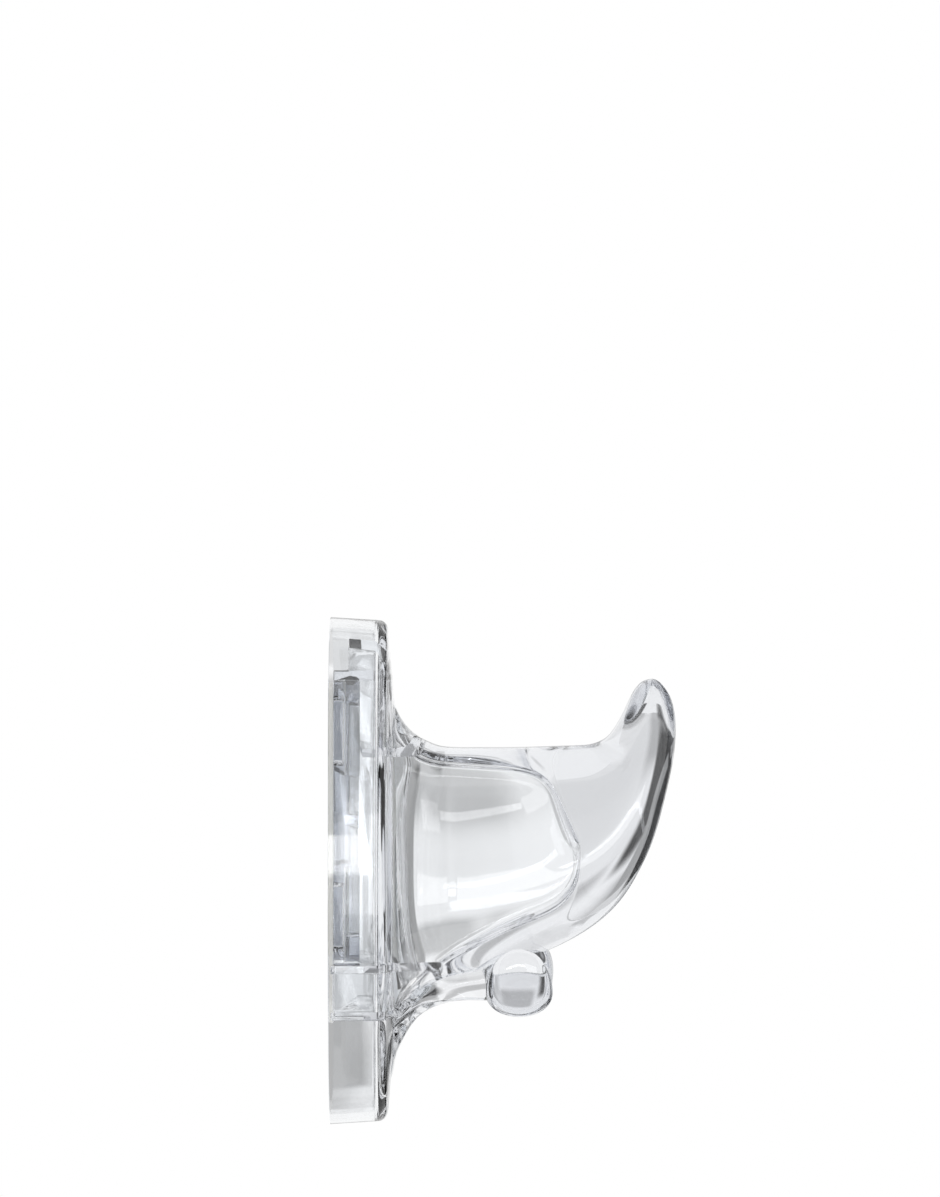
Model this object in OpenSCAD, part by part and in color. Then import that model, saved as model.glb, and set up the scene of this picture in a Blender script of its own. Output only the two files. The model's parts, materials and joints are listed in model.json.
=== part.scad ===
// Clear adhesive wall hook: a moulded cover with a large hook and a small double hook below it,
// which slides down onto a mounting base held to the wall by a stretch-release strip.
// The wall is the plane y = 0, the hook reaches towards -y, and z is up. Sections are written
// as depth from the wall (d = -y), height z and lateral place x.

/* [Cover plate] */
// Height of the cover plate
plate_h = 103; // [99:1:115]
// Width of the cover plate
plate_w = 50; // [46:1:60]
// Depth from the wall to the plate's front face
plate_d = 12; // [11.6:0.2:14]
// Squareness of the plate's outline, 2 for an ellipse
plate_square = 3.2; // [3:0.1:5]
// Thickness of the plate's moulded wall
wall = 1.8; // [1.4:0.1:2.4]
// Radius along the plate's front edge
edge_r = 2; // [1:0.25:3]
// Draft of the plate's edge, in degrees
draft = 3.5; // [1:0.5:5]
// Gap between the cover's rim and the wall
rim_gap = 0.4; // [0.3:0.1:0.6]

/* [Large hook] */
// Reach of the hook from the wall
hook_reach = 70.6; // [64:0.2:80]
// Depth at which the seat begins
seat_d = 24; // [22:0.5:27]
// Height of the seat above the plate's centre
seat_z = 25.1; // [23:0.1:28]
// Height of the horn's tip above the plate's centre
tip_z = 38.8; // [36:0.2:46]
// Drop of the trunk's underside at its root, below the plate's centre
trunk_drop = 21.4; // [19.4:0.1:24]
// Width of the trunk at its root
trunk_w = 29; // [27:0.5:32]
// Squareness of the trunk's section
trunk_square = 3.3; // [2.6:0.1:4]
// Squareness of the horn's section at its tip
horn_square = 2.2; // [2:0.1:3]
// Share by which the trunk and its core are wider below their middle and narrower above
lean_share = 0.06; // [0:0.01:0.1]

/* [Hollow core] */
// Reach of the hollow core from the wall
core_reach = 51; // [46:0.2:54]
// Height of the core's ceiling
core_z = 21.6; // [19:0.2:22.4]
// Drop of the core's floor, halfway along the trunk
core_drop = 14.1; // [11:0.1:15]
// Width of the core at its root
core_w = 22.4; // [20:0.2:23]
// Squareness of the core's section
core_square = 9; // [5:0.5:10]

/* [Small double hook] */
// Depth of the two prongs' centre line
prong_d = 38.6; // [37:0.2:42]
// Width of the two prongs together, tip to tip
prong_span = 43; // [41:0.5:47]
// Thickness of a prong along the depth
prong_t = 14.2; // [12:0.2:16]
// Drop of the prongs' underside below the plate's centre
prong_drop = 28.8; // [27:0.2:31]
// Height of a prong's tip above its underside
prong_rise = 14; // [12:0.2:15]
// Drop of the arm's underside where it meets the prongs
arm_drop = 26.7; // [25:0.1:27.5]
// Drop of the arm's root on the plate
arm_root_drop = 44; // [42:0.5:46]
// Width of the arm
arm_w = 11; // [9:0.5:14]

/* [Slide] */
// Distance that the cover slides up to come off its base
travel = 18; // [17.5:0.1:18.5]
// Clearance between the cover and its base
slide_gap = 0.4; // [0.3:0.05:0.5]
// Length of each pair of the cover's lips
lip_l = 14; // [12:0.5:14.5]
// Thickness of the rails that carry the lips
rail_t = 1.8; // [1.4:0.1:2.4]
// Depth from the wall at which the rails begin above the base
rail_d = 4.2; // [3:0.1:6]
// Thickness of the cover's inner ribs
rib_t = 2; // [1.4:0.1:2.4]
// Height of the upper inner rib below the plate's centre
rib_drop = 18.8; // [18:0.1:21]
// Height from one inner rib to the next
rib_step = 9.3; // [8.5:0.1:10]

/* [Mounting base] */
// Height of the base's top edge above the plate's centre
base_top = 38.6; // [38:0.2:40]
// Reach of the base below the strip's adhesive
base_lap = 1; // [0.6:0.1:1.6]
// Width of the base's spine
spine_w = 19.4; // [18:0.2:20]
// Width of the base across its flanges
flange_w = 26; // [24.5:0.5:27]
// Thickness of the base
base_t = 5.7; // [5.2:0.1:6]
// Thickness of a flange
flange_t = 2.8; // [2.2:0.1:3.2]
// Length of each pair of flanges
flange_l = 19; // [18:0.5:19.5]
// Depth of the two shallow pockets in the base's front
pocket_t = 1.6; // [1:0.1:2.2]

/* [Adhesive strip] */
// Width of the strip
strip_w = 16; // [14:0.5:18]
// Length of the strip with its pull tab
strip_l = 69; // [66:0.2:69.4]
// Length of the pull tab
tab_l = 14; // [10:0.5:14.5]
// Thickness of the strip
strip_t = 1; // [0.8:0.05:1.2]
// Thickness of an adhesive layer and of the tab's film
glue_t = 0.15; // [0.1:0.01:0.2]
// Distance from the base's top edge to the strip's
strip_inset = 0.4; // [0.3:0.1:1]

/* [Hidden] */

// Counts: points round a section, and steps from one row of a table to the next
round_n = 32;
prong_n = 22;
hook_n = 2;
edge_n = 4;
corner_n = 5;

// Radius of the base's corners and of the strip's, and lead-in at the ends of its flanges and of the lips
base_corner = 2;
strip_corner = 3;
lead_in = 1;
// Overrun of a cut past the face that it opens
over = 1;

base_d = strip_t + base_t;
flange_d = base_d - flange_t;
strip_z = base_top - strip_inset;
glue_z = strip_z - strip_l + tab_l;
base_z = glue_z - base_lap;
base_h = base_top - base_z;
lip_d = strip_t + slide_gap / 2;
rail_x = flange_w / 2 + slide_gap;
rib_d = base_d + slide_gap;

// Way of a fillet from the plate's face to the trunk: [inwards share, outwards share]
root_share = [
    [0, 0], [0.22, 0.035], [0.45, 0.08], [0.64, 0.12], [0.74, 0.21], [0.84, 0.35],
    [0.91, 0.51], [0.96, 0.71], [0.99, 0.87], [1, 1]];

// Trunk and horn: [seat side depth and height, outer side depth and height, width], the depths as shares
// of the hook past its seat, the heights of the horn above the seat and of the whole hook above its underside
hook_share = [
    [0, 0, 0.05, 0, 1],
    [0.13, -0.01, 0.19, 0.025, 0.97],
    [0.26, -0.01, 0.34, 0.055, 0.94],
    [0.385, 0, 0.49, 0.1, 0.92],
    [0.49, 0.01, 0.63, 0.162, 0.91],
    [0.58, 0.02, 0.755, 0.25, 0.9],
    [0.64, 0.045, 0.845, 0.36, 0.89],
    [0.69, 0.12, 0.905, 0.465, 0.88],
    [0.73, 0.27, 0.95, 0.588, 0.86],
    [0.765, 0.475, 0.984, 0.704, 0.82],
    [0.795, 0.69, 1, 0.803, 0.75],
    [0.822, 0.85, 0.998, 0.877, 0.65],
    [0.85, 0.955, 0.978, 0.94, 0.5],
    [0.88, 1, 0.945, 0.98, 0.3]];
tip_share = [0.912, 1];

// Way of the core from the plate's inner face into the trunk: [inwards and outwards above, the same below]
core_root_share = [
    [0, 0, 0, 0], [0.19, 0.015, 0.14, 0.01], [0.41, 0.045, 0.31, 0.03], [0.58, 0.075, 0.44, 0.06],
    [0.73, 0.155, 0.57, 0.13], [0.86, 0.34, 0.74, 0.34], [0.955, 0.63, 0.86, 0.57], [1, 1, 1, 1]];

// Core's far end: [upper depth and height, lower depth and height, width], the depths as shares of the
// core past the seat's beginning and the heights of the core between its floor and ceiling
core_share = [
    [0, 1, 0.246, 0, 1],
    [0.37, 0.985, 0.647, 0.13, 0.98],
    [0.62, 0.96, 0.857, 0.215, 0.96],
    [0.765, 0.905, 0.956, 0.305, 0.94],
    [0.86, 0.79, 0.993, 0.405, 0.92],
    [0.935, 0.665, 1, 0.5, 0.9],
    [0.975, 0.6, 0.998, 0.54, 0.89]];

// Arm from the plate to the prongs: [upper depth and height, lower depth and height, width past the arm's],
// the depths as shares of the way to the prongs and the heights of the arm's underside
arm_share = [
    [0, 0.2, 0, 1.02, 1],
    [0.02, 0.15, 0.05, 0.93, 0.8],
    [0.05, 0.1, 0.09, 0.66, 0.5],
    [0.11, 0, 0.16, 0.41, 0.27],
    [0.22, -0.15, 0.27, 0.175, 0.1],
    [0.38, -0.32, 0.47, 0.025, 0.02],
    [0.67, -0.5, 0.74, 0, 0],
    [1, -0.65, 1, 0, 0]];
arm_root_w = 30;

// Prongs: [lateral share of half the span, underside and top as shares of the rise, thickness share]
prong_share = [
    [0, 0.06, 1.15, 1],
    [0.3, 0.05, 1.02, 0.97],
    [0.5, 0.02, 0.7, 0.93],
    [0.66, 0, 0.64, 0.94],
    [0.79, 0.01, 0.8, 0.94],
    [0.9, 0.09, 0.95, 0.86],
    [0.96, 0.24, 1, 0.72],
    [0.99, 0.4, 0.92, 0.48]];
prong_end_share = 0.66;
prong_square = 2.1;

// A point at lateral place x, depth d and height z
function at(x, d, z) = [x, -d, z];

// Cosine or sine drawn out towards a square
function squared(v, n) = sign(v) * pow(abs(v), 2 / n);

// Smooth run of rows of numbers through the rows given, with n steps between two of them
function between(a, b, c, d, t) =
    b + (c - a) * t / 2 + (a * 2 - b * 5 + c * 4 - d) * t * t / 2 + ((b - c) * 3 + d - a) * t * t * t / 2;
function smooth(rows, n) = [
    for (i = [0:len(rows) - 2], k = [0:n - 1])
        between(rows[max(i - 1, 0)], rows[i], rows[i + 1], rows[min(i + 2, len(rows) - 1)], k / n),
    rows[len(rows) - 1]];

// Row of a loft: [upper depth, upper height, lower depth, lower height, half width, squareness, lean]
function ring(row, n = round_n) = [
    for (i = [0:n - 1])
        let (turn = 360 * i / n,
             across = squared(cos(turn), row[5]),
             up = squared(sin(turn), row[5]))
        at(row[4] * across * (1 - row[6] * up),
           (row[0] + row[2]) / 2 + (row[0] - row[2]) / 2 * up,
           (row[1] + row[3]) / 2 + (row[1] - row[3]) / 2 * up)];

// Row from a to b, with its own share inwards (height and width) and outwards (depth)
function root(a, b, up, out, low, low_out) = [
    a[0] + (b[0] - a[0]) * out, a[1] + (b[1] - a[1]) * up,
    a[2] + (b[2] - a[2]) * low_out, a[3] + (b[3] - a[3]) * low,
    for (k = [4:6]) a[k] + (b[k] - a[k]) * up];

// Row of the plate's own outline at depth d, drawn in by an inset
function plate_row(d, inset) =
    [d, plate_h / 2 - inset, d, inset - plate_h / 2, plate_w / 2 - inset, plate_square, 0];

// Outside of the cover: drafted edge, rounded front edge, root fillet, trunk and horn
edge_inset = (plate_d - edge_r - rim_gap) * tan(draft);
edge_rows = [
    plate_row(rim_gap, 0),
    for (i = [0:edge_n])
        plate_row(plate_d - edge_r * (1 - sin(90 * i / edge_n)),
                  edge_inset + edge_r * (1 - cos(90 * i / edge_n)))];
hook_rows = [
    for (s = smooth(hook_share, hook_n))
        [seat_d + s[0] * (hook_reach - seat_d), seat_z + s[1] * (tip_z - seat_z),
         seat_d + s[2] * (hook_reach - seat_d), s[3] * (tip_z + trunk_drop) - trunk_drop,
         s[4] * trunk_w / 2, trunk_square + (horn_square - trunk_square) * s[3], s[4] * lean_share]];
skin_rows = concat(
    edge_rows,
    [for (i = [1:len(root_share) - 2])
        let (s = root_share[i])
        root(edge_rows[len(edge_rows) - 1], hook_rows[0], s[0], s[1], s[0], s[1])],
    hook_rows);
tip = at(0, seat_d + tip_share[0] * (hook_reach - seat_d), seat_z + tip_share[1] * (tip_z - seat_z));

// Inside of the cover: the shell's inner face, the core's root and the core
core_h = core_z + core_drop;
inner_rows = [
    plate_row(rim_gap - over, wall),
    plate_row(plate_d - wall - edge_r / 2, wall + edge_inset),
    plate_row(plate_d - wall, wall + edge_inset + edge_r / 2)];
core_rows = [
    for (s = core_share)
        [seat_d + s[0] * (core_reach - seat_d), s[1] * core_h - core_drop,
         seat_d + s[2] * (core_reach - seat_d), s[3] * core_h - core_drop,
         s[4] * core_w / 2, core_square, lean_share]];
hollow_rows = concat(
    inner_rows,
    [for (i = [1:len(core_root_share) - 2])
        let (s = core_root_share[i])
        root(inner_rows[len(inner_rows) - 1], core_rows[0], s[0], s[1], s[2], s[3])],
    core_rows);

arm_d = plate_d - wall / 2;
arm_rows = [
    for (s = smooth(arm_share, hook_n))
        let (run = prong_d - arm_d, fall = arm_root_drop - arm_drop)
        [arm_d + s[0] * run, -arm_drop - s[1] * fall,
         arm_d + s[2] * run, -arm_drop - s[3] * fall,
         arm_w / 2 + s[4] * (arm_root_w - arm_w) / 2, prong_square, 0]];

// Closed solid through rings of equal count, ended by a point or by the last ring itself
module loft(rings, end = undef) {
    n = len(rings[0]);
    last = (len(rings) - 1) * n;
    points = [for (r = rings) each r];
    walls = [
        for (k = [0:len(rings) - 2], i = [0:n - 1])
            let (a = k * n + i, b = k * n + (i + 1) % n)
            each [[a, a + n, b], [b, a + n, b + n]]];
    first_cap = [[for (i = [0:n - 1]) i]];
    end_cap = is_undef(end)
        ? [[for (i = [n - 1:-1:0]) last + i]]
        : [for (i = [0:n - 1]) [last + i, last + n, last + (i + 1) % n]];
    polyhedron(is_undef(end) ? points : concat(points, [end]), concat(first_cap, walls, end_cap));
}

module skin() loft([for (r = skin_rows) ring(r)], tip);

module hollow() loft([for (r = hollow_rows) ring(r)]);

// Web that carries the small double hook
module arm() loft([for (r = arm_rows) ring(r, prong_n)]);

// One lateral section of the prongs, square to x
function prong_ring(s, side) = [
    for (i = [0:prong_n - 1])
        let (turn = -side * 360 * i / prong_n,
             low = s[1] * prong_rise - prong_drop,
             high = s[2] * prong_rise - prong_drop)
        at(side * s[0] * prong_span / 2,
           prong_d + squared(cos(turn), prong_square) * s[3] * prong_t / 2,
           (low + high) / 2 + squared(sin(turn), prong_square) * (high - low) / 2)];

// Prong on one side, from the middle of the arm to its rounded, upturned tip
module prong(side)
    loft([for (s = smooth(prong_share, 2)) prong_ring(s, side)],
         at(side * prong_span / 2, prong_d, prong_end_share * prong_rise - prong_drop));

// Block between two corners given as [x, d, z]
module block(a, b)
    translate(at(a[0], b[1], a[2])) cube([b[0] - a[0], b[1] - a[1], b[2] - a[2]]);

// Rib with draft, thinner at its free edge: x from a to b, its free edge at depth d
module rib(x_a, x_b, d, z, d_root)
    hull() {
        block([x_a, d, z - rib_t * 0.4], [x_b, d_root, z + rib_t * 0.4]);
        block([x_a, d_root - rib_t, z - rib_t / 2], [x_b, d_root, z + rib_t / 2]);
    }

// Rails on both sides of the base, with a pair of lips above and one below that hook behind its flanges.
// Raised by the travel, the upper lips are past the base's top and the lower ones past the lower flanges.
module rails() {
    rail_end = rail_x + rail_t;
    for (side = [0, 1]) mirror([side, 0, 0]) {
        block([rail_x, lip_d, -rib_drop - rib_step], [rail_end, seat_d, base_top + rib_t]);
        block([rail_x, rail_d, base_top], [rail_end, seat_d, plate_h / 2]);
        for (z = [base_top - travel + lead_in, base_z + flange_l - travel + lead_in])
            hull() {
                block([rail_x, lip_d, z], [rail_end, flange_d - slide_gap, z + lip_l]);
                block([spine_w / 2 + slide_gap, lip_d, z + lead_in],
                      [rail_end, flange_d - slide_gap, z + lip_l - lead_in]);
            }
    }
}

// Stop that rests on the base's top edge, guide rib before the base and cross ribs below it
module ribs() {
    half = plate_w / 2;
    hull() {
        block([-rail_x - rail_t, lip_d, base_top], [rail_x + rail_t, seat_d, base_top + rib_t * 0.8]);
        block([-rail_x - rail_t, plate_d - wall * 2, base_top], [rail_x + rail_t, seat_d, base_top + rib_t]);
    }
    rib(-rail_x, rail_x, rib_d, seat_z - rib_t / 2, seat_d);
    for (drop = [rib_drop, rib_drop + rib_step]) {
        rib(-half, -rail_x, rim_gap + slide_gap, -drop, hook_reach / 2);
        rib(rail_x, half, rim_gap + slide_gap, -drop, hook_reach / 2);
        rib(-rail_x, rail_x, rib_d, -drop, hook_reach / 2);
    }
}

module hook_cover()
    color([0.93, 0.94, 0.95, 0.4]) {
        difference() {
            union() {
                skin();
                arm();
                prong(1);
                prong(-1);
            }
            hollow();
        }
        intersection() {
            skin();
            union() {
                rails();
                ribs();
            }
        }
    }

// Rectangle with rounded corners, in x and z about its lower edge's middle
function rounded(w, z0, z1, r) = [
    for (q = [0:3], i = [0:corner_n])
        let (turn = 90 * (q + i / corner_n),
             x = (q == 0 || q == 3 ? 1 : -1) * (w / 2 - r),
             z = q < 2 ? z1 - r : z0 + r)
        [x + r * cos(turn), z + r * sin(turn)]];

// Prism over an outline in x and z, from depth d0 to d1
module prism(outline, d0, d1)
    translate(at(0, d0, 0)) rotate([90, 0, 0]) linear_extrude(d1 - d0) polygon(outline);

// Flange pair with led-in ends, from height z up
function flange_outline(z) = [
    [flange_w / 2 - lead_in, z], [flange_w / 2, z + lead_in],
    [flange_w / 2, z + flange_l - lead_in], [flange_w / 2 - lead_in, z + flange_l],
    [lead_in - flange_w / 2, z + flange_l], [-flange_w / 2, z + flange_l - lead_in],
    [-flange_w / 2, z + lead_in], [lead_in - flange_w / 2, z]];

module mounting_base()
    color([0.86, 0.87, 0.9, 0.5])
        difference() {
            union() {
                prism(rounded(spine_w, base_z, base_top, base_corner), strip_t, base_d);
                for (z = [base_z, base_top - flange_l]) prism(flange_outline(z), flange_d, base_d);
            }
            for (z = [base_z + flange_l / 4, base_z + base_h / 2 + base_corner / 2])
                prism(rounded(spine_w - base_corner * 3, z, z + base_h / 2 - flange_l / 4 - base_corner / 2,
                              base_corner / 2),
                      base_d - pocket_t, base_d + over);
        }

// Layer of the strip's own outline between two depths and two heights
module layer(d0, d1, z0, z1)
    intersection() {
        prism(rounded(strip_w, strip_z - strip_l, strip_z, strip_corner), d0, d1);
        block([-strip_w, d0 - over, z0], [strip_w, d1 + over, z1]);
    }

module strip_core()
    color("gainsboro") layer(glue_t, strip_t - glue_t, strip_z - strip_l + glue_t, strip_z);

module wall_adhesive()
    color("whitesmoke") layer(0, glue_t, glue_z, strip_z);

module base_adhesive()
    color("whitesmoke") layer(strip_t - glue_t, strip_t, glue_z, strip_z);

// Film folded round the pull tab, so that it sticks neither to the wall nor to a finger
module tab_film()
    color("white")
        difference() {
            layer(0, strip_t, strip_z - strip_l, glue_z - glue_t);
            block([-strip_w, glue_t, strip_z - strip_l + glue_t], [strip_w, strip_t - glue_t, strip_z]);
        }

hook_cover();
mounting_base();
strip_core();
wall_adhesive();
base_adhesive();
tab_film();
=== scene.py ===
import json
import math

import bpy
import numpy as np
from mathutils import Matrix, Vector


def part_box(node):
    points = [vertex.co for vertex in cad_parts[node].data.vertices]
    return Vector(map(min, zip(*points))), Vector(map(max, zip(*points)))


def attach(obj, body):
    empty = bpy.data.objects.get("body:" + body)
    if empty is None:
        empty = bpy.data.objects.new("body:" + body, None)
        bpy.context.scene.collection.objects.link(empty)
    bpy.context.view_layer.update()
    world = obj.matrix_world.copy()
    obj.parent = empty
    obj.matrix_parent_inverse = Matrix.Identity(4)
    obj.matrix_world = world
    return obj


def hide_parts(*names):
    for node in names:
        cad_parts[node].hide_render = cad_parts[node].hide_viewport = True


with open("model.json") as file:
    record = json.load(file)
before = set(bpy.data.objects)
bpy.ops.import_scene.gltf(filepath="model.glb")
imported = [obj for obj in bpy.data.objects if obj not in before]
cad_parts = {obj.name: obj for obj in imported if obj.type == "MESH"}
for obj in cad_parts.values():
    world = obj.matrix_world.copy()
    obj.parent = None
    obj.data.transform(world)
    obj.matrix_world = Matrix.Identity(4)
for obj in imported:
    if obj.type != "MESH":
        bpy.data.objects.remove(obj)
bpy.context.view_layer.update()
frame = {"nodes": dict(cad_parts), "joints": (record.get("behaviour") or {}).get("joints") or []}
mm = 0.001
scene = bpy.context.scene
print("frame loaded:", sorted(frame["nodes"]))

# The wall is the plane y = 0, the hook reaches towards -y and z is up. Depths are measured from the wall,
# so a point at depth d has y = -d.
coverLow, coverHigh = (np.array(corner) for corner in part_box("hook_cover"))
baseLow, baseHigh = (np.array(corner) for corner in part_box("mounting_base"))


# Camera

photoView = {
    "distance": 1020 * mm,  # from the lens to the hook's middle plane
    "aim": (0.0, -28.7 * mm, 55.3 * mm),  # point at the middle of the picture
    "frameHeight": 244.3 * mm,  # height that the picture takes in at the hook
    "sensor": 36.0,
    "clipStart": 10 * mm,
}


def makeCamera(view):
    data = bpy.data.cameras.new("camera")
    data.sensor_fit = "VERTICAL"
    data.sensor_height = view["sensor"]
    data.lens = view["sensor"] * view["distance"] / view["frameHeight"]
    data.clip_start = view["clipStart"]
    camera = bpy.data.objects.new("camera", data)
    aim = view["aim"]
    camera.location = (aim[0] - view["distance"], aim[1], aim[2])
    camera.rotation_euler = (math.pi / 2, 0, -math.pi / 2)  # level, looking along +x
    scene.collection.objects.link(camera)
    scene.camera = camera


makeCamera(photoView)


# Meshes

# Object from points and faces, with its outside found by the sign of the enclosed volume: the sum over
# triangles of a . (b x c), which is positive where the faces point outwards
def makeMesh(name, points, quads, others=()):
    data = bpy.data.meshes.new(name)
    points = np.asarray(points, float)
    quads = np.asarray(quads, int).reshape(-1, 4)
    a, b, c, d = (points[quads[:, k]] for k in range(4))
    volume = np.einsum("ij,ij->", a, np.cross(b, c)) + np.einsum("ij,ij->", a, np.cross(c, d))
    for other in others:
        fan = points[np.asarray(other)]
        hub = np.broadcast_to(fan[0], fan[1:-1].shape)
        volume += np.einsum("ij,ij->", hub, np.cross(fan[1:-1], fan[2:]))
    faces = quads.tolist() + [list(other) for other in others]
    if volume < 0:
        faces = [face[::-1] for face in faces]
    data.from_pydata(points.tolist(), [], faces)
    data.validate()
    piece = bpy.data.objects.new(name, data)
    scene.collection.objects.link(piece)
    return piece


# Section in eleven numbers: its middle, the half axis across it, the half axis up it, its squareness, and
# its lean, the share by which it is wider below its middle and narrower above
def sectionRow(middle, across, up, squareness, lean=0.0):
    return np.concatenate([middle, across, up, [squareness, lean]])


# Natural cubic spline through rows of numbers: the second derivatives m solve
# h0 m0 + 2 (h0 + h1) m1 + h1 m2 = 6 (slope1 - slope0) at each inner row and are zero at the ends
def splineRows(knots, rows, places):
    gaps = np.diff(knots)
    slopes = np.diff(rows, axis=0) / gaps[:, None]
    matrix = np.eye(len(knots))
    inner = np.arange(1, len(knots) - 1)
    matrix[inner, inner - 1] = gaps[:-1]
    matrix[inner, inner] = 2 * (gaps[:-1] + gaps[1:])
    matrix[inner, inner + 1] = gaps[1:]
    right = np.zeros_like(rows)
    right[1:-1] = 6 * np.diff(slopes, axis=0)
    bends = np.linalg.solve(matrix, right)
    k = np.clip(np.searchsorted(knots, places, side="right") - 1, 0, len(gaps) - 1)
    h = gaps[k][:, None]
    before = (knots[k + 1] - places)[:, None] / h
    after = 1 - before
    return (before * rows[k] + after * rows[k + 1]
            + ((before**3 - before) * bends[k] + (after**3 - after) * bends[k + 1]) * h**2 / 6)


# Sections read every `step` along a spline through the rows given, by the length of the chords between them.
# Past a row of no size the sections before it follow again, turned half round, so that the end is a dome.
def sections(rows, step, domes=()):
    rows = np.array(rows)
    turned = rows * np.concatenate([np.ones(3), -np.ones(6), [1, -1]])
    start = len(rows) - 1 if "first" in domes else 0
    whole = rows
    if "first" in domes:
        whole = np.vstack([turned[:0:-1], whole])
    if "last" in domes:
        whole = np.vstack([whole, turned[-2::-1]])
    chords = np.sqrt((np.diff(whole[:, :9], axis=0) ** 2).sum(1))
    knots = np.concatenate([[0], np.cumsum(chords)])
    first, last = knots[start], knots[start + len(rows) - 1]
    places = np.linspace(first, last, max(3, int(round((last - first) / step)) + 1))
    return splineRows(knots, whole, places)


# Closed skin over sections. A point at turn t lies at middle + k cos(t) (1 - lean k sin(t)) across
# + k sin(t) up, where k = (|cos t|^n + |sin t|^n)^(-1/n) draws the ellipse out towards a square of
# squareness n.
def loft(name, rows, around, domes=()):
    turn = np.linspace(0, 2 * math.pi, around, endpoint=False)
    cosine, sine = np.cos(turn)[None, :, None], np.sin(turn)[None, :, None]
    n, lean = (rows[:, k][:, None, None] for k in (9, 10))
    stretch = (np.abs(cosine) ** n + np.abs(sine) ** n) ** (-1 / n)
    middle, across, up = (rows[:, None, 3 * k:3 * k + 3] for k in range(3))
    rings = middle + stretch * cosine * (1 - lean * stretch * sine) * across + stretch * sine * up
    inner = rings[(1 if "first" in domes else 0):(len(rings) - 1 if "last" in domes else len(rings))]
    points = inner.reshape(-1, 3)
    i, j = np.meshgrid(np.arange(len(inner) - 1), np.arange(around), indexing="ij")
    low, high, nextJ = i * around, (i + 1) * around, (j + 1) % around
    quads = np.stack([low + j, low + nextJ, high + nextJ, high + j], -1)
    ringStart = (len(inner) - 1) * around
    caps = []
    for end, pole, offset in (("first", rows[0], 0), ("last", rows[-1], ringStart)):
        ring = offset + (np.arange(around) if end == "last" else np.arange(around)[::-1])
        if end in domes:
            points = np.vstack([points, pole[None, :3]])
            caps += [[int(a), int(b), len(points) - 1] for a, b in zip(ring, np.roll(ring, -1))]
        else:
            caps.append(ring.tolist())
    return makeMesh(name, points, quads.reshape(-1, 4), caps)


# Prism: an outline in the plane square to an axis, between two places on it. Axis 0 takes (depth, height)
# pairs and axis 1, the depth, takes (x, height) pairs.
def prism(name, outline, start, end, axis):
    outline = np.asarray(outline, float)
    count = len(outline)
    if axis == 0:
        layers = [np.column_stack([np.full(count, x), -outline[:, 0], outline[:, 1]]) for x in (start, end)]
    else:
        layers = [np.column_stack([outline[:, 0], np.full(count, -d), outline[:, 1]]) for d in (start, end)]
    j = np.arange(count)
    quads = np.column_stack([j, (j + 1) % count, (j + 1) % count + count, j + count])
    return makeMesh(name, np.vstack(layers), quads, [j[::-1].tolist(), (j + count).tolist()])


# The piece's modifiers become its mesh
def applyModifiers(piece):
    bpy.context.view_layer.update()
    graph = bpy.context.evaluated_depsgraph_get()
    data = bpy.data.meshes.new_from_object(piece.evaluated_get(graph))
    piece.modifiers.clear()
    old = piece.data
    piece.data = data
    bpy.data.meshes.remove(old)


def combine(piece, other, operation):
    modifier = piece.modifiers.new("combine", "BOOLEAN")
    modifier.solver = "MANIFOLD"
    modifier.operation = operation
    modifier.object = other
    applyModifiers(piece)
    bpy.data.objects.remove(other)


def bevelEdges(piece, width, angle=35):
    modifier = piece.modifiers.new("edges", "BEVEL")
    modifier.width = width
    modifier.segments = 2
    modifier.limit_method = "ANGLE"
    modifier.angle_limit = math.radians(angle)
    modifier.use_clamp_overlap = True
    applyModifiers(piece)


# Smooth faces with edges kept sharp past an angle
def smoothFaces(piece, angle=30):
    data = piece.data
    data.polygons.foreach_set("use_smooth", np.ones(len(data.polygons), bool))
    data.set_sharp_from_angle(angle=math.radians(angle))
    data.update()


# Outside of the cover

coverPlate = {
    "height": coverHigh[2] - coverLow[2],
    "width": coverHigh[0] - coverLow[0],
    "depth": 12 * mm,  # to the front face
    "squareness": 3.2,
    "wall": 1.8 * mm,
    "edgeRadius": 2 * mm,
    "edgeSteps": 9,
    "draft": math.radians(3.5),
    "draftSteps": 4,
    "rimGap": -coverHigh[1],  # from the wall to the plate's rim
}
trunk = {
    "reach": 70.6 * mm,
    "seatDepth": 24 * mm,
    "seatHeight": 25.1 * mm,
    "tipHeight": 38.8 * mm,
    "drop": 21.4 * mm,  # of the underside at the root
    "width": 29 * mm,
    "squareness": 3.3,
    "hornSquareness": 2.2,
    "lean": 0.06,
    "step": 0.55 * mm,
    "around": 208,
    # Way of the fillet from the plate's face: shares inwards and outwards
    "rootShares": [
        (0, 0), (0.22, 0.035), (0.45, 0.08), (0.64, 0.12), (0.74, 0.21), (0.84, 0.35),
        (0.91, 0.51), (0.96, 0.71), (0.99, 0.87)],
    # Seat side depth and height, outer side depth and height, width
    "shares": [
        (0, 0, 0.05, 0, 1), (0.13, -0.01, 0.19, 0.025, 0.97), (0.26, -0.01, 0.34, 0.055, 0.94),
        (0.385, 0, 0.49, 0.1, 0.92), (0.49, 0.01, 0.63, 0.162, 0.91), (0.58, 0.02, 0.755, 0.25, 0.9),
        (0.64, 0.045, 0.845, 0.36, 0.89), (0.69, 0.12, 0.905, 0.465, 0.88),
        (0.73, 0.27, 0.95, 0.588, 0.86), (0.765, 0.475, 0.984, 0.704, 0.82), (0.795, 0.69, 1, 0.803, 0.75),
        (0.822, 0.85, 0.998, 0.877, 0.65), (0.85, 0.955, 0.978, 0.94, 0.5), (0.88, 1, 0.945, 0.98, 0.3)],
    "tipShares": (0.912, 1),
}
sideDepth = coverPlate["depth"] - coverPlate["edgeRadius"] - coverPlate["rimGap"]
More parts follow.
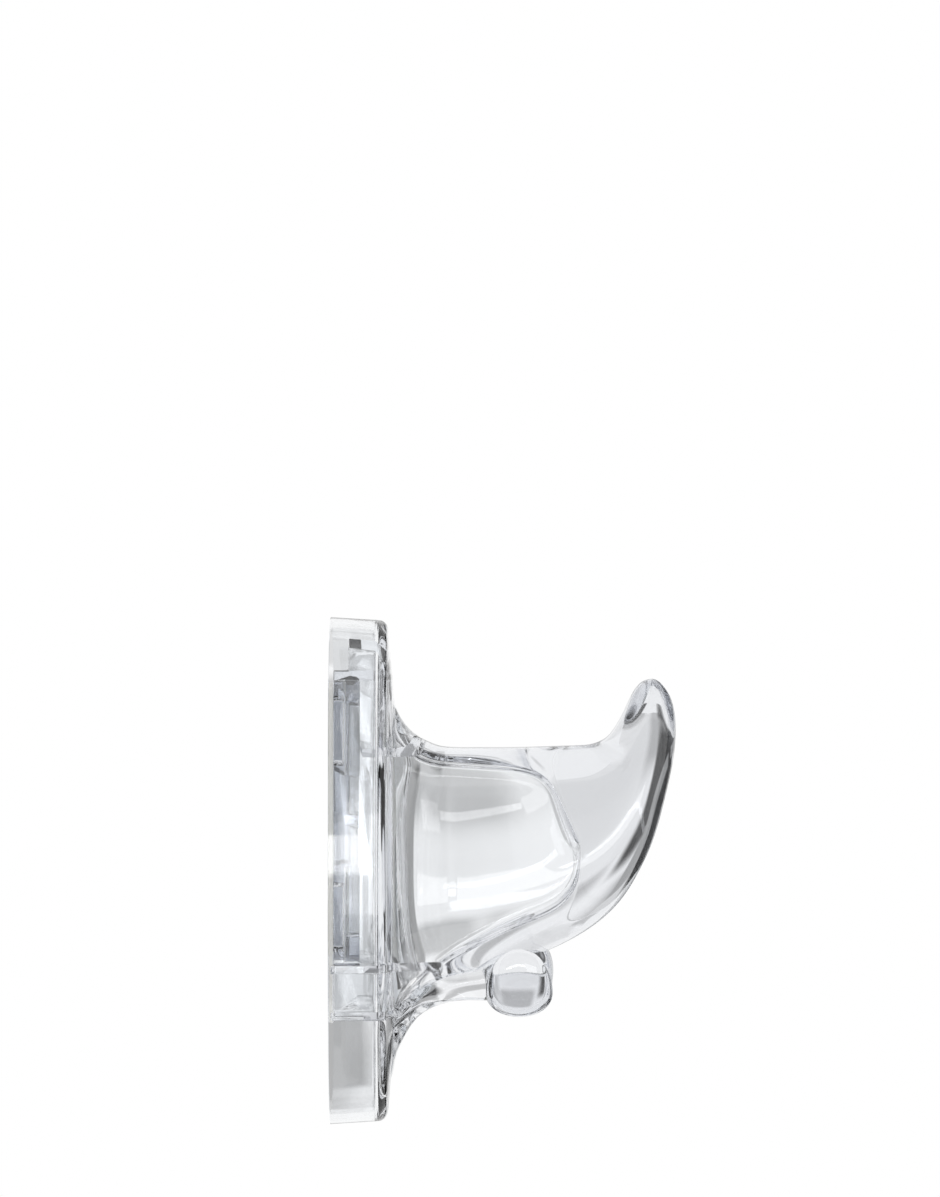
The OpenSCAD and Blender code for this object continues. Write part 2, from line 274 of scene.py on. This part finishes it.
edgeInset = sideDepth * math.tan(coverPlate["draft"])


# Section square to x = 0 from its upper and lower points, each a depth and a height
def levelSection(upperDepth, upperHeight, lowerDepth, lowerHeight, halfWidth, squareness, lean=0.0):
    middle = (0, -(upperDepth + lowerDepth) / 2, (upperHeight + lowerHeight) / 2)
    up = (0, -(upperDepth - lowerDepth) / 2, (upperHeight - lowerHeight) / 2)
    return sectionRow(middle, (halfWidth, 0, 0), up, squareness, lean)


# The plate's own outline at a depth, drawn in by an inset
def plateSection(depth, inset):
    height, halfWidth = coverPlate["height"] / 2 - inset, coverPlate["width"] / 2 - inset
    return levelSection(depth, height, depth, -height, halfWidth, coverPlate["squareness"])


# Quarter round from the plate's side to its face: depth and inset follow the sine and cosine of a turn
def edgeSections(depth, inset, radius, steps):
    turns = np.linspace(0, math.pi / 2, steps)
    return [plateSection(depth - radius * (1 - math.sin(t)), inset + radius * (1 - math.cos(t)))
            for t in turns]


# Level sections on the way from a to b, each from four shares of that way: the upper point's outwards and
# upwards, then the lower point's. Width and squareness follow the upper point.
def rootSections(a, b, shares):
    out, up, lowOut, low = np.array(shares, float).T

    def between(share, start, end):
        return (1 - share) * start + share * end

    upperA, upperB = a[:3] + a[6:9], b[:3] + b[6:9]
    lowerA, lowerB = a[:3] - a[6:9], b[:3] - b[6:9]
    numbers = np.column_stack([
        -between(out, upperA[1], upperB[1]), between(up, upperA[2], upperB[2]),
        -between(lowOut, lowerA[1], lowerB[1]), between(low, lowerA[2], lowerB[2]),
        between(up, a[3], b[3]), between(up, a[9], b[9]), up * b[10]])
    return [levelSection(*row) for row in numbers]


def makeSkin():
    side = [plateSection(coverPlate["rimGap"] + share * sideDepth, share * edgeInset)
            for share in np.linspace(0, 1, coverPlate["draftSteps"] + 1)[:-1]]
    edge = edgeSections(coverPlate["depth"], edgeInset, coverPlate["edgeRadius"], coverPlate["edgeSteps"])
    past = trunk["reach"] - trunk["seatDepth"]
    rise = trunk["tipHeight"] - trunk["seatHeight"]
    height = trunk["tipHeight"] + trunk["drop"]
    rounding = trunk["hornSquareness"] - trunk["squareness"]
    hook = [
        levelSection(trunk["seatDepth"] + seatOut * past, trunk["seatHeight"] + seatUp * rise,
                     trunk["seatDepth"] + outerOut * past, outerUp * height - trunk["drop"],
                     width * trunk["width"] / 2, trunk["squareness"] + rounding * outerUp,
                     trunk["lean"] * width)
        for seatOut, seatUp, outerOut, outerUp, width in trunk["shares"]]
    root = rootSections(edge[-1], hook[0], [(out, up, out, up) for up, out in trunk["rootShares"]])
    tipDepth = trunk["seatDepth"] + trunk["tipShares"][0] * past
    tipHeight = trunk["seatHeight"] + trunk["tipShares"][1] * rise
    tip = levelSection(tipDepth, tipHeight, tipDepth, tipHeight, 0, trunk["hornSquareness"])
    front = sections(root + hook + [tip], trunk["step"], ["last"])
    return loft("cover_moulding", np.vstack([side, edge[:-1], front]), trunk["around"], ["last"])


# Inside of the cover

core = {
    "reach": 51 * mm,
    "ceiling": 21.6 * mm,
    "drop": 14.1 * mm,  # of the floor, halfway along the trunk
    "width": 22.4 * mm,
    "squareness": 14,
    "edgeSteps": 6,
    "step": 0.5 * mm,
    "around": 200,
    # Way from the plate's inner face: shares inwards and outwards above, and the same below
    "rootShares": [
        (0, 0, 0, 0), (0.19, 0.015, 0.14, 0.01), (0.41, 0.045, 0.31, 0.03), (0.58, 0.075, 0.44, 0.06),
        (0.73, 0.155, 0.57, 0.13), (0.86, 0.34, 0.74, 0.34), (0.955, 0.63, 0.86, 0.57)],
    # Upper depth and height, lower depth and height, width
    "shares": [
        (0, 1, 0.246, 0, 1), (0.37, 0.985, 0.647, 0.13, 0.98), (0.62, 0.96, 0.857, 0.215, 0.96),
        (0.765, 0.905, 0.956, 0.305, 0.94), (0.86, 0.79, 0.993, 0.405, 0.92), (0.935, 0.665, 1, 0.5, 0.9),
        (0.975, 0.6, 0.998, 0.54, 0.89)],
}
cutPast = 1 * mm  # that a cutting solid stands past what it cuts


def makeHollow():
    wall = coverPlate["wall"]
    rim = plateSection(coverPlate["rimGap"] - cutPast, wall)
    edge = edgeSections(coverPlate["depth"] - wall, wall + edgeInset, coverPlate["edgeRadius"] / 2,
                        core["edgeSteps"])
    past = core["reach"] - trunk["seatDepth"]
    height = core["ceiling"] + core["drop"]
    inner = [
        levelSection(trunk["seatDepth"] + out * past, up * height - core["drop"],
                     trunk["seatDepth"] + lowOut * past, low * height - core["drop"],
                     width * core["width"] / 2, core["squareness"], trunk["lean"])
        for out, up, lowOut, low, width in core["shares"]]
    root = rootSections(edge[-1], inner[0], [
        (out, up, lowOut, low) for up, out, low, lowOut in core["rootShares"]])
    front = sections(root + inner, core["step"])
    return loft("hollow", np.vstack([[rim], edge[:-1], front]), core["around"])


# Small double hook and its arm

doubleHook = {
    "depth": 38.6 * mm,
    "span": 43 * mm,
    "thickness": 14.2 * mm,
    "drop": 28.8 * mm,
    "rise": 14 * mm,
    "squareness": 2.1,
    "step": 0.5 * mm,
    "around": 112,
    # Lateral share of half the span, underside and top as shares of the rise, thickness share
    "shares": [
        (0, 0.06, 1.15, 1), (0.3, 0.05, 1.02, 0.97), (0.5, 0.02, 0.7, 0.93), (0.66, 0, 0.64, 0.94),
        (0.79, 0.01, 0.8, 0.94), (0.9, 0.09, 0.95, 0.86), (0.96, 0.24, 1, 0.72), (0.99, 0.4, 0.92, 0.48)],
    "endShare": 0.66,
}
arm = {
    "drop": 26.7 * mm,  # of its underside at the prongs
    "rootDrop": 44 * mm,
    "width": 11 * mm,
    "rootWidth": 30 * mm,
    "step": 0.6 * mm,
    "around": 104,
    # Upper depth and height, lower depth and height, width past the arm's
    "shares": [
        (0, 0.2, 0, 1.02, 1), (0.02, 0.15, 0.05, 0.93, 0.8), (0.05, 0.1, 0.09, 0.66, 0.5),
        (0.11, 0, 0.16, 0.41, 0.27), (0.22, -0.15, 0.27, 0.175, 0.1), (0.38, -0.32, 0.47, 0.025, 0.02),
        (0.67, -0.5, 0.74, 0, 0), (1, -0.65, 1, 0, 0)],
}


def prongSection(lateral, low, high, thickness):
    rise, drop = doubleHook["rise"], doubleHook["drop"]
    middle = (lateral * doubleHook["span"] / 2, -doubleHook["depth"], (low + high) / 2 * rise - drop)
    across = (0, -thickness * doubleHook["thickness"] / 2, 0)
    return sectionRow(middle, across, (0, 0, (high - low) / 2 * rise), doubleHook["squareness"])


def makeProngs():
    half = list(doubleHook["shares"]) + [(1, doubleHook["endShare"], doubleHook["endShare"], 0)]
    otherHalf = [(-lateral, *others) for lateral, *others in half[:0:-1]]
    rows = sections([prongSection(*row) for row in otherHalf + half], doubleHook["step"], ["first", "last"])
    return loft("prongs", rows, doubleHook["around"], ["first", "last"])


def makeArm():
    start = coverPlate["depth"] - coverPlate["wall"] / 2
    run = doubleHook["depth"] - start
    fall = arm["rootDrop"] - arm["drop"]
    spread = arm["rootWidth"] - arm["width"]
    rows = [
        levelSection(start + out * run, -arm["drop"] - down * fall,
                     start + lowOut * run, -arm["drop"] - lowDown * fall,
                     arm["width"] / 2 + width * spread / 2, doubleHook["squareness"])
        for out, down, lowOut, lowDown, width in arm["shares"]]
    return loft("arm", sections(rows, arm["step"]), arm["around"])


# Rails, lips and ribs inside the cover

slide = {
    "travel": frame["joints"][0]["range_m"][1],
    "gap": 0.4 * mm,
    "lipLength": 14 * mm,
    "railThickness": 1.8 * mm,
    "upperRailDepth": 4.2 * mm,
    "ribThickness": 2 * mm,
    "ribDrop": 18.8 * mm,  # from the hook's middle to the upper cross rib
    "ribStep": 9.3 * mm,
    "ribTaper": 0.8,  # share of a rib's thickness left at its free edge
    "leadIn": 1 * mm,
    "flangeThickness": 2.8 * mm,
    "flangeLength": 19 * mm,
    "spineWidth": 19.4 * mm,
    "edgeRadius": 0.3 * mm,
}
railX = baseHigh[0] + slide["gap"]
railEnd = railX + slide["railThickness"]
railMiddle = railX + slide["railThickness"] / 2
railTop = baseHigh[2] + slide["ribThickness"]
lipDepth = -baseHigh[1] + slide["gap"] / 2


def makeRail(side):
    seat, low = trunk["seatDepth"], -slide["ribDrop"] - slide["ribStep"]
    outline = [
        (lipDepth, low), (seat, low), (seat, coverHigh[2]), (slide["upperRailDepth"], coverHigh[2]),
        (slide["upperRailDepth"], railTop), (lipDepth, railTop)]
    return prism("rail", outline, side * railX, side * railEnd, 0)


# Lip that hooks behind the base's flange, from a rail inwards, its corners cut off so that it finds its way
def makeLip(side, flangeEnd):
    lead = slide["leadIn"]
    low = flangeEnd - slide["travel"] + lead
    high = low + slide["lipLength"]
    free = slide["spineWidth"] / 2 + slide["gap"]
    front = -baseLow[1] - slide["flangeThickness"] - slide["gap"]
    outline = [
        (side * railEnd, low), (side * railEnd, high), (side * railX, high),
        (side * free, high - lead), (side * free, low + lead), (side * railX, low)]
    return prism("lip", outline, lipDepth, front, 1)


# Rib that rests on the base's top edge, thinner at its free edge
def makeStop():
    low, seat = baseHigh[2], trunk["seatDepth"]
    slopeStart = coverPlate["depth"] - 2 * coverPlate["wall"]
    outline = [
        (lipDepth, low), (seat, low), (seat, railTop), (slopeStart, railTop),
        (lipDepth, low + slide["ribTaper"] * slide["ribThickness"])]
    return prism("stop", outline, -railEnd, railEnd, 0)


# Level rib about a height, with draft
def makeRib(start, end, freeDepth, height, rootDepth):
    thickness = slide["ribThickness"]
    half, freeHalf = thickness / 2, slide["ribTaper"] * thickness / 2
    outline = [
        (freeDepth, height - freeHalf), (rootDepth - thickness, height - half), (rootDepth, height - half),
        (rootDepth, height + half), (rootDepth - thickness, height + half), (freeDepth, height + freeHalf)]
    return prism("rib", outline, start, end, 0)


# All that the hollow leaves standing. Each solid runs on into the wall that it stands on.
def innerSolids():
    solids = []
    for side in (-1, 1):
        solids.append(makeRail(side))
        for flangeEnd in (baseHigh[2], baseLow[2] + slide["flangeLength"]):
            solids.append(makeLip(side, flangeEnd))
    solids.append(makeStop())
    overBase = -baseLow[1] + slide["gap"]
    guide = trunk["seatHeight"] - slide["ribThickness"] / 2
    solids.append(makeRib(-railMiddle, railMiddle, overBase, guide, trunk["seatDepth"]))
    rim, half, deep = coverPlate["rimGap"] + slide["gap"], coverPlate["width"] / 2, trunk["reach"] / 2
    for drop in (slide["ribDrop"], slide["ribDrop"] + slide["ribStep"]):
        solids.append(makeRib(-half, -railMiddle, rim, -drop, deep))
        solids.append(makeRib(railMiddle, half, rim, -drop, deep))
        solids.append(makeRib(-railMiddle, railMiddle, overBase, -drop, deep))
    return solids


def makeCover():
    cover = makeSkin()
    combine(cover, makeArm(), "UNION")
    combine(cover, makeProngs(), "UNION")
    hollow = makeHollow()
    for solid in innerSolids():
        bevelEdges(solid, slide["edgeRadius"])
        combine(hollow, solid, "DIFFERENCE")
    combine(cover, hollow, "DIFFERENCE")
    smoothFaces(cover)
    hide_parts("hook_cover")
    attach(cover, "cover")
    print("cover:", len(cover.data.polygons), "faces")
    return cover


# Mounting base

base = {
    "cornerRadius": 2 * mm,
    "cornerSteps": 8,
    "pocketDepth": 1.6 * mm,
    "pocketWall": 3 * mm,  # left on each side of a pocket
    "pocketRadius": 1 * mm,
    "pocketMargin": slide["flangeLength"] / 4,  # from the base's lower edge
    "edgeRadius": 0.35 * mm,
}


# Rectangle with rounded corners about x = 0, from a height to a height: each corner's points are its centre
# plus radius times the cosine and sine of a quarter turn
def roundedOutline(width, low, high, radius, steps):
    corners = []
    for quarter in range(4):
        turn = math.pi / 2 * (quarter + np.linspace(0, 1, steps))
        x = (1 if quarter in (0, 3) else -1) * (width / 2 - radius)
        z = high - radius if quarter < 2 else low + radius
        corners.append(np.column_stack([x + radius * np.cos(turn), z + radius * np.sin(turn)]))
    return np.vstack(corners)


def makeBase():
    back, front = -baseHigh[1], -baseLow[1]
    low, high, half = baseLow[2], baseHigh[2], baseHigh[0]
    spine = roundedOutline(slide["spineWidth"], low, high, base["cornerRadius"], base["cornerSteps"])
    body = prism("base_moulding", spine, back, front, 1)
    lead, length = slide["leadIn"], slide["flangeLength"]
    for z in (low, high - length):
        outline = [
            (half - lead, z), (half, z + lead), (half, z + length - lead), (half - lead, z + length),
            (lead - half, z + length), (-half, z + length - lead), (-half, z + lead), (lead - half, z)]
        combine(body, prism("flange", outline, front - slide["flangeThickness"], front, 1), "UNION")
    lowest, upper = low + base["pocketMargin"], (low + high) / 2 + base["pocketRadius"]
    pocketWidth = slide["spineWidth"] - 2 * base["pocketWall"]
    pocketHeight = (high - low) / 2 - base["pocketMargin"] - base["pocketRadius"]
    for z in (lowest, upper):
        pocket = roundedOutline(pocketWidth, z, z + pocketHeight, base["pocketRadius"], base["cornerSteps"])
        combine(body, prism("pocket", pocket, front - base["pocketDepth"], front + cutPast, 1), "DIFFERENCE")
    bevelEdges(body, base["edgeRadius"])
    smoothFaces(body)
    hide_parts("mounting_base")
    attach(body, "base")
    print("base:", len(body.data.polygons), "faces")
    return body


# Materials

def hexColour(code):  # sRGB hex to linear
    srgb = np.array([int(code[k:k + 2], 16) for k in (0, 2, 4)]) / 255
    linear = np.where(srgb <= 0.04045, srgb / 12.92, ((srgb + 0.055) / 1.055) ** 2.4)
    return (*linear.tolist(), 1.0)


# One node with its settings, the values of its inputs and the links into them
def addNode(tree, kind, values=None, links=None, **settings):
    node = tree.nodes.new(kind)
    for name, value in settings.items():
        setattr(node, name, value)
    for socket, value in (values or {}).items():
        node.inputs[socket].default_value = value
    for socket, output in (links or {}).items():
        tree.links.new(output, node.inputs[socket])
    return node


def newMaterial(name):
    material = bpy.data.materials.new(name)
    material.use_nodes = True
    material.node_tree.nodes.clear()
    return material, material.node_tree


def dress(piece, material):
    piece.data.materials.clear()
    piece.data.materials.append(material)


# Styrene acrylonitrile, injection moulded in a polished tool: clear and hard, with a faint slow waviness
# where the melt flowed and a bare trace of grey over a thick section
clearMoulding = {
    "ior": 1.57,
    "roughness": 0.015,
    "rubbed": 2.5,  # times that roughness where the surface is duller
    "tint": "fbfcfd",
    "absorb": "c9ccd4",
    "density": 15.0,  # per metre of plastic
    "flowLength": 11 * mm,  # from one slow wave of the surface to the next
    "flowDepth": 0.012 * mm,
}
# The same plastic for the part that is hidden, from a plainer tool and so a little less glossy. Its
# absorption is turned up past the cover's so that the base shows a darker grey through the cover: painted
# shade.
baseMouldingPaintedShade = {**clearMoulding, "density": 65.0, "roughness": 0.03}


def clearPlastic(name, finish):
    material, tree = newMaterial(name)
    place = addNode(tree, "ShaderNodeTexCoord")
    flow = addNode(tree, "ShaderNodeTexNoise",
                   {"Scale": 1 / finish["flowLength"], "Detail": 1.5, "Roughness": 0.4},
                   {"Vector": place.outputs["Object"]})
    bump = addNode(tree, "ShaderNodeBump", {"Strength": 1.0, "Distance": finish["flowDepth"]},
                   {"Height": flow.outputs["Fac"]})
    rub = addNode(tree, "ShaderNodeMapRange",
                  {"From Min": 0.35, "From Max": 0.75, "To Min": finish["roughness"],
                   "To Max": finish["roughness"] * finish["rubbed"]},
                  {"Value": flow.outputs["Fac"]})
    shader = addNode(tree, "ShaderNodeBsdfPrincipled",
                     {"Base Color": hexColour(finish["tint"]), "IOR": finish["ior"],
                      "Transmission Weight": 1.0},
                     {"Normal": bump.outputs["Normal"], "Roughness": rub.outputs["Result"]})
    absorb = addNode(tree, "ShaderNodeVolumeAbsorption",
                     {"Color": hexColour(finish["absorb"]), "Density": finish["density"]})
    addNode(tree, "ShaderNodeOutputMaterial", None,
            {"Surface": shader.outputs["BSDF"], "Volume": absorb.outputs["Volume"]})
    return material


cover = makeCover()
dress(cover, clearPlastic("clear_san_polished_moulding", clearMoulding))
baseBody = makeBase()
# The base's darker grey comes from its denser absorption: painted shade
dress(baseBody, clearPlastic("clear_san_base_painted_shade", baseMouldingPaintedShade))


# Stretch-release strip: a foam core between two layers of adhesive, its tab folded into a film

stripLow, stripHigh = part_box("tab_film")[0][2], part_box("strip_core")[1][2]
strip = {
    "cornerRadius": 3 * mm,
    "cornerSteps": 12,
    "edgeRadius": 0.05 * mm,
    "bevelAngle": 60,
    "wetting": 0.02 * mm,  # that a layer sinks into what it sticks to, so that no air shows between them
    "foldSteps": 9,
}


def stripOutline(width):
    return roundedOutline(width, stripLow, stripHigh, strip["cornerRadius"], strip["cornerSteps"])


# Layer of the strip over a node's own box: the strip's rounded outline, cut level at the layer's ends
def stripLayer(name, node, material):
    low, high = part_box(node)
    outline = stripOutline(high[0] - low[0])
    outline[:, 1] = np.clip(outline[:, 1], low[2], high[2])
    piece = prism(name, outline, -high[1], -low[1] + strip["wetting"], 1)
    bevelEdges(piece, strip["edgeRadius"], strip["bevelAngle"])
    finishStrip(piece, node, material)


# Film folded round the tab: a U over depth and height, whose bend is half a turn, trimmed to the outline
def makeFilm(material):
    low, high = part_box("tab_film")
    radius = (high[1] - low[1]) / 2
    inside = radius - (high[1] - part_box("strip_core")[1][1])
    turn = np.linspace(0, math.pi, strip["foldSteps"])
    depth, height = -(low[1] + high[1]) / 2, low[2] + radius

    def bend(r):
        return np.column_stack([depth + r * np.cos(turn), height - r * np.sin(turn)])

    profile = np.vstack([
        [(depth + radius, high[2])], bend(radius), [(depth - radius, high[2])],
        [(depth - inside, high[2])], bend(inside)[::-1], [(depth + inside, high[2])]])
    piece = prism("folded_tab_film", profile[::-1], low[0], high[0], 0)
    trim = prism("trim", stripOutline(high[0] - low[0]), -high[1] - cutPast, -low[1] + cutPast, 1)
    combine(piece, trim, "INTERSECT")
    finishStrip(piece, "tab_film", material)


def finishStrip(piece, node, material):
    smoothFaces(piece)
    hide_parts(node)
    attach(piece, "base")
    dress(piece, material)


# Stretch foam, cut from a roll: white and matte, its fine cells painted a shade darker where they sink:
# painted shade in their hollows
foamStrip = {
    "light": "efeeea", "dark": "dddcd7", "roughness": 0.75, "depth": 0.05 * mm,
    "cell": 0.35 * mm}
# Acrylic adhesive, spread by a blade: a soft sheen over shallow dimples, which are painted a little darker
# where they dip as painted shade, and a bare yellow cast
tackyLayer = {
    "light": "ecebe3", "dark": "e0ded3", "roughness": 0.32, "depth": 0.02 * mm,
    "cell": 1.4 * mm, "detail": 2}
# Polyester release film, rolled smooth: glossy, with long faint bands along the roll, their low parts
# painted darker as painted shade
releaseFilm = {
    "light": "f3f4f5", "dark": "e7e9eb", "roughness": 0.18, "depth": 0.01 * mm,
    "band": 2.5 * mm, "waver": 1.5}


# Surface whose colour and height follow one pattern's output: it is painted darker where it lies lower,
# which is painted shade in its hollows
def patterned(name, finish, makePattern):
    material, tree = newMaterial(name)
    place = addNode(tree, "ShaderNodeTexCoord")
    pattern = makePattern(tree, place.outputs["Object"])
    colour = addNode(tree, "ShaderNodeMix",
                     {"A": hexColour(finish["dark"]), "B": hexColour(finish["light"])},
                     {"Factor": pattern}, data_type="RGBA")
    bump = addNode(tree, "ShaderNodeBump", {"Strength": 0.5, "Distance": finish["depth"]},
                   {"Height": pattern})
    shader = addNode(tree, "ShaderNodeBsdfPrincipled", {"Roughness": finish["roughness"]},
                     {"Base Color": colour.outputs["Result"], "Normal": bump.outputs["Normal"]})
    addNode(tree, "ShaderNodeOutputMaterial", None, {"Surface": shader.outputs["BSDF"]})
    return material


def foamCells(tree, place):
    # Distance from each cell's middle: lowest there, and painted darker there as shade in the hollow
    cells = addNode(tree, "ShaderNodeTexVoronoi", {"Scale": 1 / foamStrip["cell"]}, {"Vector": place})
    return cells.outputs["Distance"]


def dimples(tree, place):
    return addNode(tree, "ShaderNodeTexNoise",
                   {"Scale": 1 / tackyLayer["cell"], "Detail": tackyLayer["detail"]},
                   {"Vector": place}).outputs["Fac"]


def rollBands(tree, place):
    return addNode(tree, "ShaderNodeTexWave",
                   {"Scale": 1 / releaseFilm["band"], "Distortion": releaseFilm["waver"]},
                   {"Vector": place}, bands_direction="X").outputs["Fac"]


stripLayer("strip_foam", "strip_core", patterned("stretch_foam", foamStrip, foamCells))
tackMaterial = patterned("acrylic_adhesive_layer", tackyLayer, dimples)
for node in ("wall_adhesive", "base_adhesive"):
    stripLayer(node + "_layer", node, tackMaterial)
makeFilm(patterned("polyester_release_film", releaseFilm, rollBands))
print("strip: 4 pieces")


# Room

white = (1, 1, 1, 1)
room = {
    "plainLevel": 0.85,  # what the walls give to matte surfaces
    "hookMiddle": (0, -0.03, 0.0),
    "floorDrop": 0.42,
    "floorSize": 6.0,
    "floorColour": "f4f4f4",
}
# Grey cards round the hook: azimuth from +X towards +Y and elevation in degrees, distance in metres, the
# degrees that the card fills across and up, its level, and the shares of its half width and half height over
# which it fades out
cards = {
    # Beside the plate, for its grey columns
    "top_wall_card": (17, 25, 0.138, 17, 15, 0.72, (0.2, 0.2)),
    "wall_card": (17, 6, 0.127, 17, 26, 0.36, (0.2, 0.25)),
    "low_wall_card": (17, -21, 0.134, 17, 20, 0.42, (0.2, 0.2)),
    # Dark, for the horn's rim and for lines along edges
    "side_flag": (24.5, -9, 0.75, 37, 38, 0.05, (0.25, 0.25)),
    "tip_flag": (13, -24, 0.9, 16, 17, 0.12, (0.4, 0.4)),
    "edge_flag": (61, -1, 0.75, 53, 54, 0.02, (0.15, 0.2)),
    # Soft, for the greys in the trunk and the horn, which leave a white band between them
    "side_shade": (42, 20, 0.9, 64, 22, 0.42, (0.5, 0.5)),
    "backdrop_shade": (-2, 8.5, 1.2, 20, 13, 0.56, (0.4, 0.5)),
    "lower_shade": (8, -16, 1.2, 20, 28, 0.56, (0.5, 0.35)),
    "horn_shade": (-6, -13, 1.25, 22, 24, 0.86, (0.5, 0.5)),
    "near_shade": (-17, 0, 0.9, 16, 20, 0.6, (0.4, 0.4)),
    # On the camera's side of the plate, out of the picture
    "upper_near_card": (163, 15, 0.13, 17, 20, 0.35, (0.2, 0.2)),
    "low_near_card": (163, -15, 0.13, 17, 23, 0.35, (0.2, 0.2)),
}
# Cards that only reflections show
mirroredCards = {
    "front_flag": (-40, -4, 0.9, 70, 60, 0.08, (0.3, 0.3)),
    "camera_side_flag": (180, 2, 1.3, 86, 70, 0.04, (0.2, 0.2)),
}
# Soft lamps on the camera's side: place, width and height in metres, power in watts
lamps = {
    "band_lamp": ((-0.8, -0.235, -0.03), (0.27, 0.085), 0.162),
    "patch_lamp": ((-0.8, 0.08, -0.03), (0.358, 0.028), 0.15),
}


# One where a ray comes from the camera, a mirror or through glass
def seenDirectly(tree):
    path = addNode(tree, "ShaderNodeLightPath")
    either = addNode(tree, "ShaderNodeMath", None,
                     {0: path.outputs["Is Camera Ray"], 1: path.outputs["Is Glossy Ray"]},
                     operation="MAXIMUM")
    return addNode(tree, "ShaderNodeMath", None,
                   {0: either.outputs[0], 1: path.outputs["Is Transmission Ray"]},
                   operation="MAXIMUM").outputs[0]


def makeWorld():
    world = bpy.data.worlds.new("studio")
    world.use_nodes = True
    tree = world.node_tree
    tree.nodes.clear()
    plain = addNode(tree, "ShaderNodeBackground", {"Color": white, "Strength": room["plainLevel"]})
    backdrop = addNode(tree, "ShaderNodeBackground", {"Color": white, "Strength": 1.0})
    mix = addNode(tree, "ShaderNodeMixShader", None,
                  {0: seenDirectly(tree), 1: plain.outputs[0], 2: backdrop.outputs[0]})
    addNode(tree, "ShaderNodeOutputWorld", None, {"Surface": mix.outputs[0]})
    scene.world = world


def makeFloor():
    size, z = room["floorSize"] / 2, -room["floorDrop"]
    corners = [(-size, -size, z), (size, -size, z), (size, size, z), (-size, size, z)]
    data = bpy.data.meshes.new("floor")
    data.from_pydata(corners, [], [[0, 1, 2, 3]])
    floor = bpy.data.objects.new("floor", data)
    scene.collection.objects.link(floor)
    material, tree = newMaterial("studio_floor_paint")
    paint = addNode(tree, "ShaderNodeBsdfDiffuse", {"Color": hexColour(room["floorColour"])})
    backdrop = addNode(tree, "ShaderNodeEmission", {"Color": white, "Strength": 1.0})
    mix = addNode(tree, "ShaderNodeMixShader", None,
                  {0: seenDirectly(tree), 1: paint.outputs[0], 2: backdrop.outputs[0]})
    addNode(tree, "ShaderNodeOutputMaterial", None, {"Surface": mix.outputs[0]})
    dress(floor, material)


# Flat card facing a point: its corners are the middle plus and minus two half sides square to the way there
def makeCard(name, middle, target, width, height):
    middle, target = np.array(middle, float), np.array(target, float)
    way = (target - middle) / np.linalg.norm(target - middle)
    side = np.cross(way, (0, 0, 1))
    side /= np.linalg.norm(side)
    up = np.cross(side, way)
    signs = np.array([(-1, -1), (1, -1), (1, 1), (-1, 1)]) / 2
    points = middle + signs[:, :1] * side * width + signs[:, 1:] * up * height
    data = bpy.data.meshes.new(name)
    data.from_pydata(points.tolist(), [], [[0, 1, 2, 3]])
    data.uv_layers.new(name="card").data.foreach_set("uv", (2 * signs).ravel())
    card = bpy.data.objects.new(name, data)
    scene.collection.objects.link(card)
    return card


def greyCard(name, azimuth, elevation, distance, wide, high, level, fades, throughGlass=True):
    turn, lift = math.radians(azimuth), math.radians(elevation)
    way = np.array([math.cos(turn) * math.cos(lift), math.sin(turn) * math.cos(lift), math.sin(lift)])
    width, height = (2 * distance * math.tan(math.radians(angle) / 2) for angle in (wide, high))
    aim = np.array(room["hookMiddle"])
    card = makeCard(name, aim + distance * way, aim, width, height)
    card.visible_camera = False
    card.visible_diffuse = False
    card.visible_shadow = False
    card.visible_transmission = throughGlass
    material, tree = newMaterial(name)
    place = addNode(tree, "ShaderNodeSeparateXYZ", None,
                    {"Vector": addNode(tree, "ShaderNodeTexCoord").outputs["UV"]})
    present = []
    for axis, fade in zip(("X", "Y"), fades):
        far = addNode(tree, "ShaderNodeMath", None, {0: place.outputs[axis]}, operation="ABSOLUTE")
        edge = addNode(tree, "ShaderNodeMapRange", {"From Min": 1.0, "From Max": 1.0 - fade},
                       {"Value": far.outputs[0]}, interpolation_type="SMOOTHSTEP")
        present.append(edge.outputs["Result"])
    both = addNode(tree, "ShaderNodeMath", None, {0: present[0], 1: present[1]}, operation="MULTIPLY")
    clear = addNode(tree, "ShaderNodeBsdfTransparent")
    shade = addNode(tree, "ShaderNodeEmission", {"Color": (level, level, level, 1), "Strength": 1.0})
    mix = addNode(tree, "ShaderNodeMixShader", None,
                  {0: both.outputs[0], 1: clear.outputs[0], 2: shade.outputs[0]})
    addNode(tree, "ShaderNodeOutputMaterial", None, {"Surface": mix.outputs[0]})
    dress(card, material)


# Area lamp that points at the middle of the picture
def softLamp(name, place, size, power):
    data = bpy.data.lights.new(name, "AREA")
    data.shape = "RECTANGLE"
    data.size, data.size_y = size
    data.energy = power
    lamp = bpy.data.objects.new(name, data)
    way = np.array(photoView["aim"]) - np.array(place)
    flat = math.hypot(way[0], way[1])
    lamp.location = place
    lamp.rotation_euler = (math.pi / 2 + math.atan2(way[2], flat), 0, math.atan2(-way[0], way[1]))
    lamp.visible_camera = False
    scene.collection.objects.link(lamp)


makeWorld()
makeFloor()
for name, values in cards.items():
    greyCard(name, *values)
for name, values in mirroredCards.items():
    greyCard(name, *values, throughGlass=False)
for name, values in lamps.items():
    softLamp(name, *values)
print("room:", len(cards) + len(mirroredCards), "cards,", len(lamps), "lamps")

scene.view_settings.view_transform = "Standard"
scene.cycles.use_denoising = True
# Light runs far inside clear plastic before it comes out
scene.cycles.max_bounces = 40
scene.cycles.transmission_bounces = 40
scene.cycles.glossy_bounces = 12
# Left on, this filter dims what lies behind clear plastic
scene.cycles.blur_glossy = 0.0
